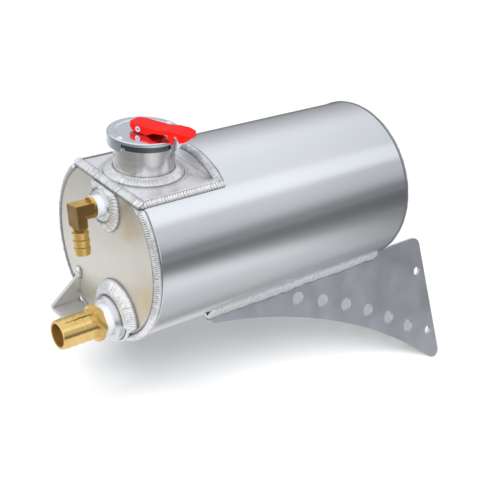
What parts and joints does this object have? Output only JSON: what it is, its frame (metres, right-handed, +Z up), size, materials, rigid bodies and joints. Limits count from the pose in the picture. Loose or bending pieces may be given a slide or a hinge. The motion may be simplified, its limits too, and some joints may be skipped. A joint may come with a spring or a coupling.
{
  "type": "coolant overflow tank",
  "caption": "Welded cylindrical coolant overflow tank with a lever-vent bayonet pressure cap in a top recess, brass hose fittings and a drilled rear bracket.",
  "frame": {"origin": "centre of the rear bracket's upper bolt hole, on the bracket's outer face", "axes": "+X along the tank axis from the front plate towards the back, +Z up along the filler neck, so +Y points to the side away from the bracket's outer face"},
  "size_m": [0.41, 0.1666, 0.2932],
  "materials": {
    "brushed_aluminium": "brushed",
    "plate_aluminium": "satin",
    "turned_aluminium": "turned",
    "bracket_aluminium": "satin",
    "weld_metal": "rippled",
    "brass": "polished",
    "thread_tape": "wrapped tape",
    "plated_steel": "bright plated",
    "spring_steel": "drawn wire",
    "seal_rubber": "moulded",
    "red_enamel": "gloss enamel"
  },
  "bodies": {
    "tank": {"tank_shell": "brushed_aluminium", "front_end_plate": "plate_aluminium", "rear_end_plate": "plate_aluminium", "filler_pan": "plate_aluminium", "recess_wall": "plate_aluminium", "filler_neck": "turned_aluminium", "upper_bung": "turned_aluminium", "lower_bung": "turned_aluminium", "elbow_fitting": "brass", "barb_fitting": "brass", "upper_thread_tape": "thread_tape", "lower_thread_tape": "thread_tape", "front_tab": "plate_aluminium", "rear_bracket": "bracket_aluminium", "weld_front_rim": "weld_metal", "weld_rear_rim": "weld_metal", "weld_pan": "weld_metal", "weld_recess_arch": "weld_metal", "weld_neck": "weld_metal", "weld_upper_bung": "weld_metal", "weld_lower_bung": "weld_metal", "weld_bracket": "weld_metal", "weld_tab": "weld_metal"},
    "cap_core": {"swivel_bell": "plated_steel", "top_gasket": "seal_rubber", "diaphragm": "spring_steel", "pressure_spring": "spring_steel"},
    "cap": {"cap_shell": "plated_steel"},
    "valve": {"valve_stem": "plated_steel", "pressure_valve": "plated_steel", "valve_gasket": "seal_rubber", "lever_pin": "plated_steel", "vacuum_spring": "spring_steel"},
    "lever": {"lever": "red_enamel"},
    "vacuum": {"vacuum_valve": "brass"}
  },
  "joints": [
    {"name": "cap_rise", "type": "slide", "parent": "tank", "child": "cap_core", "axis": [0, 0, 1], "range_m": [0, 0.0024]},
    {"name": "cap_turn", "type": "hinge", "parent": "cap_core", "child": "cap", "pos_m": [-0.2947, 0.06087, 0.18918], "axis": [0, 0, 1], "range_deg": [0, 70]},
    {"name": "valve_lift", "type": "slide", "parent": "cap", "child": "valve", "axis": [0, 0, 1], "range_m": [0, 0.0022], "deforming": ["pressure_spring"]},
    {"name": "lever_lift", "type": "hinge", "parent": "valve", "child": "lever", "pos_m": [-0.2947, 0.06087, 0.19348], "axis": [-0.9336, -0.3584, 0], "range_deg": [0, 25], "stiffness_Nm_per_rad": 0.3, "springref_deg": -80.21},
    {"name": "vacuum_open", "type": "slide", "parent": "valve", "child": "vacuum", "axis": [0, 0, -1], "range_m": [0, 0.0012], "stiffness_N_per_m": 150, "springref_m": -0.001, "deforming": ["vacuum_spring"]}
  ],
  "couplings": [
    {"joint": "cap_rise", "follows": "cap_turn", "m_per_rad": 0.001964},
    {"joint": "valve_lift", "follows": "lever_lift", "m_per_rad": 0.00504}
  ]
}
